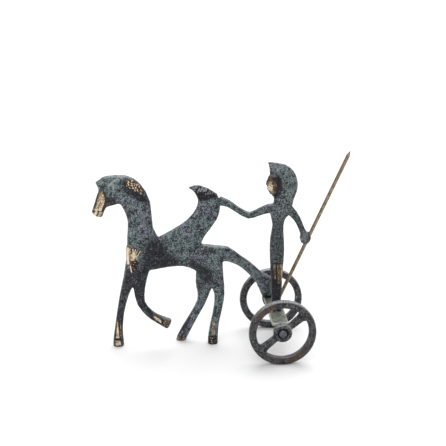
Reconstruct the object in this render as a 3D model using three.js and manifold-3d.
// A small cast bronze statuette. A winged horse draws a two wheeled chariot. Its charioteer stands
// on a strip between the wheels, with one hand on the wing and a spear in the other.
// Millimetres, +Z up. The horse faces -X, the axle runs along Y and the ground is Z = 0.

import * as THREE from 'three';
import { mergeVertices } from 'three/addons/utils/BufferGeometryUtils.js';
import Module from 'manifold-3d';

const wasm = await Module();
wasm.setup();

// Layout
const AXLE_ALONG = 38.8;          // the axle lies this far behind the middle of the whole length
const TOUCH_GAP = 0.3;            // clearance where one piece rests on another or grips it

// Wheels and axle
const WHEEL_RADIUS = 22.75;
const WHEEL_SIDES = 36;
const RIM_DEPTH = 5.2;            // from the tread to the inside of the rim
const RIM_WIDTH = 5.2;            // along the axle
const RIM_SQUARENESS = 5;
const WHEEL_SPACING = 63.3;       // between the middles of the two rims
const LEFT_BAR_SLOPE = THREE.MathUtils.degToRad(40);
const RIGHT_BAR_SLOPE = THREE.MathUtils.degToRad(112);
const BAR_HALF_WIDTH = 2.6;
const BAR_FLARE = 5.6;            // half width of the bar where it runs into the rim
const BAR_HALF_THICKNESS = 1.7;
const HUB_RADIUS = 6.3;
const HUB_HALF_WIDTH = 2.6;
const RECESS_RADIUS = 3.3;        // shallow seat in the hub's outer face for the axle's head
const RECESS_DEPTH = 0.8;
const AXLE_RADIUS = 1.6;
const BORE_CLEARANCE = 0.3;
const HEAD_RADIUS = 2.7;
const HEAD_HEIGHT = 1.7;

// Strip that the charioteer stands on
const STRIP_TOP = 26.8;
const STRIP_THICKNESS = 2.15;
const STRIP_WIDTH = 11.4;
const STRIP_ALONG = -0.6;         // middle of the strip, from the axle
const STRIP_LENGTH = 51;
const STRIP_CORNER = 1.5;
const STRIP_BEVEL = 0.5;

// Horse. Its mid plane crosses the axle beside the middle of the strip and is turned a little.
const HORSE_SIDE = 13;
const HORSE_TURN = THREE.MathUtils.degToRad(4.7);
const BODY_HALF_THICKNESS = 4.8;
const WING_HALF_THICKNESS = 3.0;
const LEG_HALF_THICKNESS = 4.4;   // where a leg starts inside the body
const SHOULDER_ROUND = 6;         // how far a leg's round top reaches up into the body
const TAIL_SIDEWAYS = 11.4;       // the tail's foot lies this far from the mid plane
const SOLE_DEPTH = 3;             // length of hoof below the ground, before the sole is cut flat
const GROUND_CUT = 300;           // side of a cube under the ground, larger than the horse

// Charioteer and spear
const FIGURE_FLOOR = STRIP_TOP + TOUCH_GAP;
const FOOT_CUT = 20;              // side of the square that is cut level under a foot
const HEAD_TURN = THREE.MathUtils.degToRad(40);
const SPEAR_RADIUS = 1.3;
const SPEAR_POINT = 4;
const SPEAR_FOOT = new THREE.Vector3(1.4, 11.4, FIGURE_FLOOR);
const SPEAR_TIP = new THREE.Vector3(47.3, -3.5, 139.8);
const FIST = new THREE.Vector3(19.8, 5, 76.9);

// Finishes
const PATINA = new THREE.MeshStandardMaterial({ color: 0x4b605e, roughness: 0.62, metalness: 0.55 });
const STRIP_METAL = new THREE.MeshStandardMaterial({ color: 0x8f948a, roughness: 0.45, metalness: 0.7 });
const ROD_METAL = new THREE.MeshStandardMaterial({ color: 0x7d6f5a, roughness: 0.4, metalness: 0.8 });

// Solids for joining and cutting

function solid(geometry) {
  const bare = geometry.clone();
  bare.deleteAttribute('normal');
  bare.deleteAttribute('uv');
  const merged = mergeVertices(bare, 1e-4);
  return new wasm.Manifold(new wasm.Mesh({
    numProp: 3,
    vertProperties: merged.attributes.position.array,
    triVerts: merged.index.array,
  }));
}

function join(solids) {
  return solids.reduce((whole, next) => whole.add(next));
}

function geometryOf(body) {
  const { vertProperties, triVerts } = body.getMesh();
  const geometry = new THREE.BufferGeometry();
  geometry.setAttribute('position', new THREE.BufferAttribute(vertProperties, 3));
  geometry.setIndex(new THREE.BufferAttribute(triVerts, 1));
  geometry.computeVertexNormals();
  return geometry;
}

function block(sizeX, sizeY, sizeZ, x, y, z) {
  return solid(new THREE.BoxGeometry(sizeX, sizeY, sizeZ).translate(x, y, z));
}

// What a foot near this place has to lose to stand level on the strip.
function underFoot(x, y) {
  return block(FOOT_CUT, FOOT_CUT, FIGURE_FLOOR, x, y, FIGURE_FLOOR / 2);
}

function ellipsoid(radii, centre, turn = 0, sides = 14) {
  const geometry = new THREE.SphereGeometry(1, sides, Math.round(sides * 0.6)).rotateX(Math.PI / 2);
  geometry.scale(...radii).rotateZ(turn).translate(centre.x, centre.y, centre.z);
  return solid(geometry);
}

// A round bar, turned about Y, from a profile of [radius, place along Y] pairs.
function turned(profile, sides = 20) {
  const points = profile.map(([radius, along]) => new THREE.Vector2(radius, along));
  return solid(new THREE.LatheGeometry(points, sides));
}

// Limbs

// A coordinate of a superellipse: the exponent sets how square the section is.
function rounded(value, squareness) {
  return Math.sign(value) * Math.abs(value) ** (2 / squareness);
}

// A ring crosses a limb: centre, half of its width as a vector in the side view, half thickness.
function scaledRing(ring, factor, shift) {
  return {
    centre: ring.centre.clone().add(shift),
    across: ring.across.clone().multiplyScalar(factor),
    thick: ring.thick * factor,
  };
}

// Rings that round off the end of a limb, reaching out past its last ring.
function dome(last, before, reach) {
  const outward = last.centre.clone().sub(before.centre).normalize();
  return [30, 60, 80].map((degrees) => {
    const angle = THREE.MathUtils.degToRad(degrees);
    return scaledRing(last, Math.cos(angle), outward.clone().multiplyScalar(reach * Math.sin(angle)));
  });
}

function closedSkin(rings, sides, squareness) {
  const points = [];
  for (const { centre, across, thick } of rings) {
    for (let side = 0; side < sides; side += 1) {
      const angle = (2 * Math.PI * side) / sides;
      const point = centre.clone().addScaledVector(across, rounded(Math.cos(angle), squareness));
      point.y += thick * rounded(Math.sin(angle), squareness);
      points.push(point);
    }
  }
  const faces = [];
  for (let ring = 0; ring < rings.length - 1; ring += 1) {
    for (let side = 0; side < sides; side += 1) {
      const here = ring * sides + side;
      const beside = ring * sides + ((side + 1) % sides);
      faces.push(here, beside, here + sides, beside, beside + sides, here + sides);
    }
  }
  const lastRing = (rings.length - 1) * sides;
  const startCentre = points.push(rings[0].centre.clone()) - 1;
  const endCentre = points.push(rings[rings.length - 1].centre.clone()) - 1;
  for (let side = 0; side < sides; side += 1) {
    const next = (side + 1) % sides;
    faces.push(startCentre, next, side, endCentre, lastRing + side, lastRing + next);
  }
  const geometry = new THREE.BufferGeometry().setFromPoints(points);
  geometry.setIndex(faces);
  const body = solid(geometry);
  if (body.volume() > 0) return body;
  for (let corner = 0; corner < faces.length; corner += 3) {
    [faces[corner], faces[corner + 1]] = [faces[corner + 1], faces[corner]];
  }
  geometry.setIndex(faces);
  return solid(geometry);
}

function smoothLine(points) {
  return new THREE.CatmullRomCurve3(points, false, 'catmullrom');
}

function skin(rings, { sides = 12, squareness = 2.3, startDome = 0, endDome = 0 }) {
  const [first, second] = rings;
  const [before, last] = rings.slice(-2);
  const start = startDome > 0 ? dome(first, second, startDome).reverse() : [];
  const end = endDome > 0 ? dome(last, before, endDome) : [];
  return closedSkin([...start, ...rings, ...end], sides, squareness);
}

// A limb follows stops along its middle, each [along, up, half width] in the side view.
// Its sideways place runs evenly from sideways[0] to sideways[1], and it is as thick as it is
// wide, up to the thickness of the casting.
function limb(stops, options = {}) {
  const { steps = 2, sideways = [0, 0], maxThick = BODY_HALF_THICKNESS, flatness = 0.95 } = options;
  const count = (stops.length - 1) * steps;
  const middle = smoothLine(stops.map(([along, up], index) => {
    const share = index / (stops.length - 1);
    return new THREE.Vector3(along, THREE.MathUtils.lerp(...sideways, share), up);
  }));
  const widths = smoothLine(stops.map(([, , width]) => new THREE.Vector3(width, 0, 0)));
  const rings = [];
  for (let step = 0; step <= count; step += 1) {
    const width = widths.getPoint(step / count).x;
    const direction = middle.getTangent(step / count).setY(0).normalize();
    rings.push({
      centre: middle.getPoint(step / count),
      across: new THREE.Vector3(-direction.z, 0, direction.x).multiplyScalar(width),
      thick: Math.min(width * flatness, maxThick),
    });
  }
  return skin(rings, options);
}

// A broad form follows ribs that cross it from edge to edge of the side view, each
// [along, up, along, up, half thickness].
function ribbed(ribs, options = {}) {
  const { steps = 2, grow = 0 } = options;
  const count = (ribs.length - 1) * steps;
  const firstEdge = smoothLine(ribs.map(([along, up]) => new THREE.Vector3(along, 0, up)));
  const secondEdge = smoothLine(ribs.map(([, , along, up]) => new THREE.Vector3(along, 0, up)));
  const thickness = smoothLine(ribs.map((rib) => new THREE.Vector3(rib[4], 0, 0)));
  const rings = [];
  for (let step = 0; step <= count; step += 1) {
    const from = firstEdge.getPoint(step / count);
    const to = secondEdge.getPoint(step / count);
    const across = to.clone().sub(from).multiplyScalar(0.5);
    rings.push({
      centre: from.clone().add(to).multiplyScalar(0.5),
      across: across.setLength(across.length() + grow),
      thick: thickness.getPoint(step / count).x + grow,
    });
  }
  return skin(rings, options);
}

// Horse, in its own frame: along its mid plane from the axle, and up

const NECK_AND_CREST = [
  [-80, 78, -102.8, 66, 4.8],        // withers to chest
  [-84.8, 87, -102.7, 79, 4.6],      // foot of the neck
  [-86.2, 104.8, -101.9, 92, 4.3],   // middle of the neck
  [-93, 118.1, -104.8, 100.8, 4.4],
  [-102.5, 123.9, -107.6, 104.4, 4.5], // poll to throat
  [-115.3, 123.9, -114.8, 102.6, 4.3], // brow to jaw
  [-118.8, 122.3, -118.2, 107.6, 3.6],
  [-122.3, 119.8, -121.6, 118, 1.6], // tip of the forelock
];
const MUZZLE = [
  [-117, 119, -109, 106, 3.8],       // inside the head
  [-121, 113, -114.4, 103, 3.6],
  [-123.2, 106.8, -116.5, 101.1, 3.1],
  [-125.5, 100, -118.3, 96.6, 3.0],  // lips
];
const TRUNK = [
  [-102.6, 75, -102.4, 61, 3.4],     // chest
  [-94, 78, -94, 55.6, 4.8],
  [-75, 79, -75, 57.6, 4.8],         // behind the withers
  [-64.4, 78, -64.7, 57.6, 4.6],     // loin
  [-54.8, 73.8, -57, 54.5, 4.7],
  [-46, 72.6, -49, 49, 4.8],         // rump
  [-41.5, 71.5, -40.4, 56.5, 4.5],
];
const WING = [
  [-80.7, 80, -62, 60, 4.6],         // root in the back
  [-71, 85, -54.4, 68.6, 4.1],
  [-61.4, 91, -49.5, 78.5, 3.4],
  [-55.6, 98.4, -41, 90, WING_HALF_THICKNESS],
  [-54.1, 103.4, -38.6, 99.3, 2.8],  // edge that the charioteer holds
  [-54.8, 107, -40.9, 108.5, 2.6],
  [-57.2, 111, -52.8, 114.9, 1.9],
  [-60, 113, -59.4, 114.1, 0.9],     // curled tip
];
const TAIL = [
  [-42, 64, 7.8],
  [-35, 64.6, 5.7],
  [-26.1, 59.3, 3.8],
  [-19, 53.8, 3.7],
  [-10.8, 45.2, 4.0],
  [-5.5, 39.8, 6.0],                 // tuft
  [-3.7, 33, 4.8],
  [-2, 25, 3.3],                     // foot on the strip
];
const STANDING_FORELEG = [
  [-97.5, 63, 6.5],
  [-101.8, 49.8, 4.4],
  [-105.4, 39, 3.2],
  [-108.4, 25, 2.6],                 // cannon
  [-110, 11.9, 3.0],
  [-110.3, 4, 3.8],                  // coronet
  [-110.4, -SOLE_DEPTH, 3.8],
];
const RAISED_FORELEG = [
  [-94.5, 61, 8.3],
  [-94.9, 50.7, 5.4],
  [-95.2, 42, 3.9],
  [-94.2, 33, 2.9],                  // knee
  [-88.7, 25.4, 2.8],
  [-82.8, 21.2, 3.1],
  [-75.6, 17.4, 3.9],                // lifted hoof
];
const FAR_HIND_LEG = [
  [-46.6, 60, 8.8],
  [-49.4, 44.5, 6.6],
  [-50.1, 37.5, 4.6],
  [-51.6, 29.5, 3.2],                // hock
  [-56.6, 19.4, 3.0],
  [-62.6, 8, 3.4],
  [-65.6, 1.4, 3.4],
  [-66.8, -SOLE_DEPTH, 3.0],
];
const NEAR_HIND_LEG = [
  [-43, 60, 6],
  [-41.3, 47, 5.1],
  [-39.4, 36, 3.7],
  [-40.8, 25, 3.1],                  // hock
  [-43.2, 14, 3.1],
  [-44.4, 4, 3.6],
  [-44.6, -SOLE_DEPTH, 3.4],
];

function leg(stops, sideways, endDome = 0) {
  const options = { sides: 10, maxThick: LEG_HALF_THICKNESS, startDome: SHOULDER_ROUND };
  return limb(stops, { ...options, sideways, endDome });
}

function horse() {
  const body = join([
    ribbed(NECK_AND_CREST, { sides: 16, squareness: 2.5, endDome: 0.6 }),
    ribbed(MUZZLE, { sides: 14, endDome: 2.2 }),
    ribbed(TRUNK, { sides: 16, startDome: 1.2, endDome: 2.4 }),
    ribbed(WING, { sides: 14, squareness: 2.6, endDome: 0.5 }),
    limb(TAIL, { sides: 10, sideways: [0, TAIL_SIDEWAYS], flatness: 0.7, startDome: 3 }),
    leg(STANDING_FORELEG, [0, 4.5]),
    leg(RAISED_FORELEG, [0, -4.2], 0.7),
    leg(FAR_HIND_LEG, [0, 8]),
    leg(NEAR_HIND_LEG, [0, -3.2]),
  ]);
  const placed = solid(geometryOf(body).rotateZ(HORSE_TURN).translate(0, HORSE_SIDE, 0));
  const underGround = block(GROUND_CUT, GROUND_CUT, GROUND_CUT, 0, 0, -GROUND_CUT / 2);
  const tailFoot = TAIL[TAIL.length - 1];
  return placed.subtract(underGround).subtract(underFoot(tailFoot[0], HORSE_SIDE + TAIL_SIDEWAYS));
}

// Charioteer: a flat frontal figure in the plane Y = 0

const TUNIC = [
  [0.6, 109, 3.9],                   // neck
  [1.5, 103.6, 5],
  [1.4, 99.6, 8],                    // shoulders
  [0.2, 94, 5.4],
  [0, 88, 3.9],                      // waist
  [-0.5, 79, 4.8],
  [-0.4, 70, 5.1],
  [-0.4, 60.6, 4.7],                 // hem
];
// Helmet and crest are one crescent: each rib runs from its front edge to its back edge.
const HELMET_AND_CREST = [
  [-7.3, 131.6, -6.1, 132, 1.2],     // forward tip
  [-6.4, 127.8, 3.7, 130.5, 2.2],
  [-6.2, 124.8, 9.8, 126, 3.4],
  [-5.2, 120.5, 12.4, 120.6, 4.5],   // over the brow
  [-5, 116, 13.1, 115.8, 4.8],
  [-4.4, 111.2, 12.4, 110.8, 4.4],
  [-3.2, 107, 10.6, 106, 3.8],       // down the nape
  [-3.4, 102, 9.7, 101.5, 3.4],
  [-3, 98.6, 9.2, 98, 3],            // into the shoulder
];
const REACHING_ARM = [
  [1, 100, 3.6],
  [-6.4, 99.4, 3.3],
  [-14, 96, 2.5],
  [-19.6, 93.9, 2.5],                // elbow
  [-27, 97.6, 2.2],
  [-33, 101.4, 2.5],
  [-38.6, 103, 3.3],                 // hand over the wing's edge
];
const SPEAR_ARM = [
  [3, 100, 3.6],
  [8, 98, 3.3],
  [13.4, 91.4, 2.4],
  [16.8, 84, 2.1],
  [19, 79, 2.6],
];
const LEGS = [                       // [from between the legs, up, half width]
  [2.15, 62, 2.5],
  [1.85, 48, 2.15],
  [1.6, 34, 1.75],
  [1.55, 28, 1.7],
];
const BETWEEN_LEGS = -0.4;
const FOOT_RADII = [1.8, 4.3, 2.6];
const FOOT_APART = 1.9;
const HEAD_CENTRE = new THREE.Vector3(-3, -1, 116.6);
const HEAD_RADII = [5.2, 4.4, 7.2];
const RIM_RADII = [5.8, 5.2, 8.8];
const FACE_OPENING = [10, 7.6, 15];  // depth, width and height of the cut that shows the face
const BROW = 4.8;                    // height of the rim over the middle of the head
const NOSE = [
  [-4.7, 2.4, 0.5],
  [-5.4, 0.6, 0.7],
  [-5.8, -0.8, 0.9],
];

function standingLeg(side) {
  const stops = LEGS.map(([apart, up, width]) => [BETWEEN_LEGS + side * apart, up, width]);
  const heel = new THREE.Vector3(BETWEEN_LEGS + side * FOOT_APART, -0.6, FIGURE_FLOOR);
  return limb(stops, { sides: 8, flatness: 1.25 }).add(ellipsoid(FOOT_RADII, heel, 0, 10));
}

// The face looks out of a rim that stands proud of the helmet, with the head a little turned.
function helmetedHead() {
  const toFigure = (geometry) => {
    return solid(geometry.rotateZ(HEAD_TURN).translate(HEAD_CENTRE.x, HEAD_CENTRE.y, HEAD_CENTRE.z));
  };
  const [depth, width, height] = FACE_OPENING;
  const cut = new THREE.BoxGeometry(depth, width, height);
  const opening = toFigure(cut.translate(-depth / 2, 0, BROW - height / 2));
  const nose = toFigure(geometryOf(limb(NOSE, { sides: 8, endDome: 0.3 })));
  const rim = ellipsoid(RIM_RADII, HEAD_CENTRE, HEAD_TURN).subtract(opening);
  const helmet = ribbed(HELMET_AND_CREST, { sides: 14, squareness: 2.1, startDome: 0.4 });
  return join([helmet.subtract(opening), rim, ellipsoid(HEAD_RADII, HEAD_CENTRE, HEAD_TURN), nose]);
}

function fist() {
  const { x, y, z } = FIST;
  const stops = [[x - 0.4, z + 3.4, 3.2], [x, z, 4.1], [x - 0.5, z - 3, 2.8]];
  const options = { sides: 10, squareness: 2.5, sideways: [y, y], maxThick: 3.4 };
  return limb(stops, { ...options, startDome: 0.6, endDome: 1.2 });
}

function charioteer() {
  const body = join([
    limb(TUNIC, { maxThick: 3.6, flatness: 0.8 }),
    standingLeg(-1),
    standingLeg(1),
    helmetedHead(),
    limb(REACHING_ARM, { sides: 10, sideways: [0, 10.6], flatness: 0.9, endDome: 1.2 }),
    limb(SPEAR_ARM, { sides: 10, sideways: [0, FIST.y] }),
    fist(),
  ]);
  const wingClearance = ribbed(WING, { sides: 14, squareness: 2.6, grow: TOUCH_GAP });
  const wing = geometryOf(wingClearance).rotateZ(HORSE_TURN).translate(0, HORSE_SIDE, 0);
  const spearHole = rod(SPEAR_RADIUS + TOUCH_GAP, 0, SPEAR_FOOT, SPEAR_TIP);
  return body.subtract(underFoot(0, 0)).subtract(solid(wing)).subtract(spearHole);
}

// A round rod from one point to another, tapered to a point over its last stretch.
function rod(radius, pointLength, from, to) {
  const axis = to.clone().sub(from);
  const length = axis.length();
  const profile = [[0, 0], [radius, 0], [radius, length - pointLength], [0, length]];
  const upright = profile.map(([r, along]) => new THREE.Vector2(r, along));
  if (pointLength === 0) upright.splice(3, 0, new THREE.Vector2(radius, length));
  const geometry = new THREE.LatheGeometry(upright, 10);
  const turn = new THREE.Quaternion().setFromUnitVectors(new THREE.Vector3(0, 1, 0), axis.normalize());
  geometry.applyQuaternion(turn).translate(from.x, from.y, from.z);
  return solid(geometry);
}

function spear() {
  const shaft = rod(SPEAR_RADIUS, SPEAR_POINT, SPEAR_FOOT, SPEAR_TIP);
  return shaft.subtract(underFoot(SPEAR_FOOT.x, SPEAR_FOOT.y));
}

// Chariot

function wheel(outward, barSlope) {
  const rimMiddle = WHEEL_RADIUS - RIM_DEPTH / 2;
  const section = [];
  const corners = 8;
  for (let corner = 0; corner <= corners; corner += 1) {
    const angle = (2 * Math.PI * corner) / corners;
    const radius = rimMiddle + (RIM_DEPTH / 2) * rounded(Math.cos(angle), RIM_SQUARENESS);
    section.push([radius, (RIM_WIDTH / 2) * rounded(Math.sin(angle), RIM_SQUARENESS)]);
  }
  const bar = limb([
    [-rimMiddle, 0, BAR_FLARE],
    [-rimMiddle + 2.5, 0, BAR_HALF_WIDTH + 1.6],
    [-rimMiddle + 5, 0, BAR_HALF_WIDTH + 0.5],
    [-HUB_RADIUS, 0, BAR_HALF_WIDTH],
    [HUB_RADIUS, 0, BAR_HALF_WIDTH],
    [rimMiddle - 5, 0, BAR_HALF_WIDTH + 0.5],
    [rimMiddle - 2.5, 0, BAR_HALF_WIDTH + 1.6],
    [rimMiddle, 0, BAR_FLARE],
  ], { sides: 8, steps: 1, squareness: 3, maxThick: BAR_HALF_THICKNESS });
  const slopedBar = solid(geometryOf(bar).rotateY(-barSlope));
  const hub = turned([
    [0, -HUB_HALF_WIDTH], [HUB_RADIUS - 0.6, -HUB_HALF_WIDTH], [HUB_RADIUS, -HUB_HALF_WIDTH + 0.6],
    [HUB_RADIUS, HUB_HALF_WIDTH - 0.6], [HUB_RADIUS - 0.6, HUB_HALF_WIDTH], [0, HUB_HALF_WIDTH],
  ]);
  const bore = AXLE_RADIUS + BORE_CLEARANCE;
  const face = outward * HUB_HALF_WIDTH;
  const seat = face - outward * RECESS_DEPTH;
  const hole = turned([[0, -10], [bore, -10], [bore, 10], [0, 10]]);
  const low = Math.min(seat, face + outward);
  const high = Math.max(seat, face + outward);
  const recess = turned([[0, low], [RECESS_RADIUS, low], [RECESS_RADIUS, high], [0, high]]);
  return join([turned(section, WHEEL_SIDES), slopedBar, hub]).subtract(hole).subtract(recess);
}

// The axle is a plain rod whose ends are domed heads seated in the hubs.
function axle() {
  const seat = WHEEL_SPACING / 2 + HUB_HALF_WIDTH - RECESS_DEPTH + TOUCH_GAP;
  const headFor = (end) => [0, 30, 60].map((degrees) => {
    const angle = THREE.MathUtils.degToRad(degrees);
    return [HEAD_RADIUS * Math.cos(angle), end * (seat + 0.5 + (HEAD_HEIGHT - 0.5) * Math.sin(angle))];
  });
  return turned([
    [0, -seat - HEAD_HEIGHT],
    ...headFor(-1).reverse(),
    [HEAD_RADIUS, -seat],
    [AXLE_RADIUS, -seat],
    [AXLE_RADIUS, seat],
    [HEAD_RADIUS, seat],
    ...headFor(1),
    [0, seat + HEAD_HEIGHT],
  ], 16);
}

function platform() {
  const halfWidth = STRIP_WIDTH / 2 - STRIP_BEVEL;
  const halfLength = STRIP_LENGTH / 2 - STRIP_BEVEL;
  const corner = STRIP_CORNER;
  const outline = new THREE.Shape();
  outline.absarc(halfWidth - corner, halfLength - corner, corner, 0, Math.PI / 2);
  outline.absarc(corner - halfWidth, halfLength - corner, corner, Math.PI / 2, Math.PI);
  outline.absarc(corner - halfWidth, corner - halfLength, corner, Math.PI, Math.PI * 1.5);
  outline.absarc(halfWidth - corner, corner - halfLength, corner, Math.PI * 1.5, Math.PI * 2);
  return solid(new THREE.ExtrudeGeometry(outline, {
    depth: STRIP_THICKNESS - 2 * STRIP_BEVEL,
    bevelThickness: STRIP_BEVEL,
    bevelSize: STRIP_BEVEL,
    bevelSegments: 1,
    curveSegments: 3,
  }).translate(STRIP_ALONG, 0, STRIP_TOP - STRIP_THICKNESS + STRIP_BEVEL));
}

// Assembly

const statuette = new THREE.Group();
statuette.position.x = AXLE_ALONG;

function place(name, body, material, y = 0, z = 0) {
  const mesh = new THREE.Mesh(geometryOf(body), material.clone());
  mesh.name = name;
  mesh.position.set(0, y, z);
  statuette.add(mesh);
}

place('winged_horse', horse(), PATINA);
place('charioteer', charioteer(), PATINA);
place('spear', spear(), ROD_METAL);
place('platform', platform(), STRIP_METAL);
place('axle', axle(), STRIP_METAL, 0, WHEEL_RADIUS);
place('left_wheel', wheel(-1, LEFT_BAR_SLOPE), PATINA, -WHEEL_SPACING / 2, WHEEL_RADIUS);
place('right_wheel', wheel(1, RIGHT_BAR_SLOPE), PATINA, WHEEL_SPACING / 2, WHEEL_RADIUS);

const model = new THREE.Group();
model.add(statuette);
export default model;
